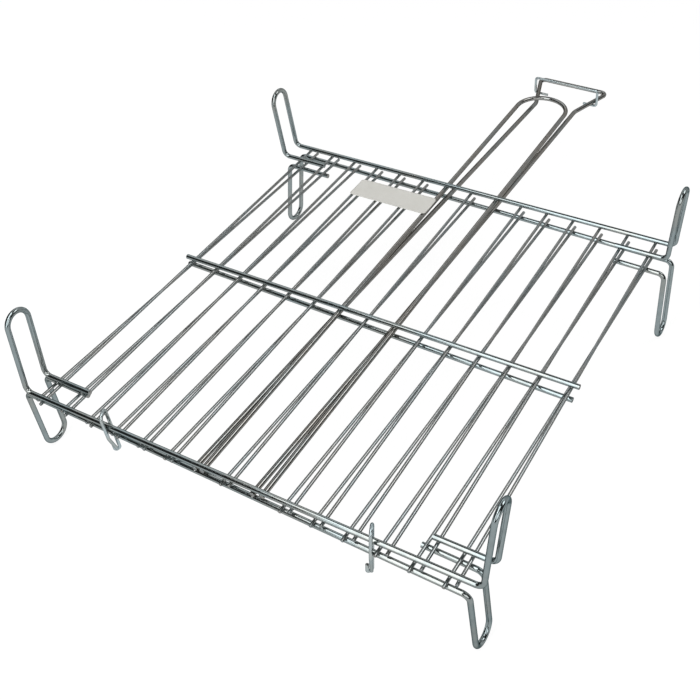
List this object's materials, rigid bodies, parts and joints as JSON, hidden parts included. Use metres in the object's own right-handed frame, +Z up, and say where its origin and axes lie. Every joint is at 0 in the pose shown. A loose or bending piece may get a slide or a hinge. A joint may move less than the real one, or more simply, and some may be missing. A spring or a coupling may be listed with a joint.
{
  "type": "double grill grate",
  "caption": "Hinged double barbecue grate of welded wire: flat rod grilles on looped legs, loose hinge rings, long double handle and a sliding latch ring.",
  "frame": {"origin": "on the ground under the middle of the outline of the closed grate, which stands on its lower legs", "axes": "+X to the right along the rails, +Y from the hinge rings to the end of the handle, +Z up"},
  "size_m": [0.4652, 0.743, 0.1758],
  "materials": {
    "rail_wire": "bright zinc plate, faintly blue",
    "rod_wire": "bright zinc plate",
    "handle_wire": "bright zinc plate, slightly warmer",
    "ring_wire": "satin zinc plate",
    "label": "uncoated pale card, bare"
  },
  "bodies": {
    "lower_grille": {"lower_front_rail": "rail_wire", "lower_back_rail": "rail_wire", "lower_mid_bar": "rail_wire", "lower_handle": "handle_wire", "lower_rod_01": "rod_wire", "lower_rod_02": "rod_wire", "lower_rod_03": "rod_wire", "lower_rod_04": "rod_wire", "lower_rod_05": "rod_wire", "lower_rod_06": "rod_wire", "lower_rod_07": "rod_wire", "lower_rod_08": "rod_wire", "lower_rod_09": "rod_wire", "lower_rod_10": "rod_wire", "lower_rod_11": "rod_wire", "lower_rod_12": "rod_wire", "lower_rod_13": "rod_wire"},
    "hinge_ring_left": {"hinge_ring_left": "ring_wire"},
    "hinge_ring_right": {"hinge_ring_right": "ring_wire"},
    "upper_grille": {"upper_front_rail": "rail_wire", "upper_back_rail": "rail_wire", "upper_mid_bar": "rail_wire", "upper_handle": "handle_wire", "upper_rod_01": "rod_wire", "upper_rod_02": "rod_wire", "upper_rod_03": "rod_wire", "upper_rod_04": "rod_wire", "upper_rod_05": "rod_wire", "upper_rod_06": "rod_wire", "upper_rod_07": "rod_wire", "upper_rod_08": "rod_wire", "upper_rod_09": "rod_wire", "upper_rod_10": "rod_wire", "upper_rod_11": "rod_wire", "upper_rod_12": "rod_wire", "upper_rod_13": "rod_wire", "paper_label": "label"},
    "latch_ring": {"latch_ring": "ring_wire"}
  },
  "joints": [
    {"name": "ring_left_swing", "type": "hinge", "parent": "lower_grille", "child": "hinge_ring_left", "pos_m": [-0.00425, -0.36314, 0.08], "axis": [0.9999, -0.0113, 0], "range_deg": [0, 90]},
    {"name": "ring_right_swing", "type": "hinge", "parent": "lower_grille", "child": "hinge_ring_right", "pos_m": [-0.00425, -0.36314, 0.08], "axis": [0.9999, -0.0113, 0], "range_deg": [0, 90]},
    {"name": "upper_turn", "type": "hinge", "parent": "hinge_ring_left", "child": "upper_grille", "pos_m": [0.00425, -0.36314, 0.09], "axis": [0.9999, 0.0113, 0], "range_deg": [0, 90]},
    {"name": "latch_slide", "type": "slide", "parent": "lower_grille", "child": "latch_ring", "axis": [0.0113, 0.9999, 0], "range_m": [-0.2494, 0]}
  ],
  "couplings": [
    {"joint": "ring_right_swing", "follows": "ring_left_swing", "ratio": 1}
  ]
}
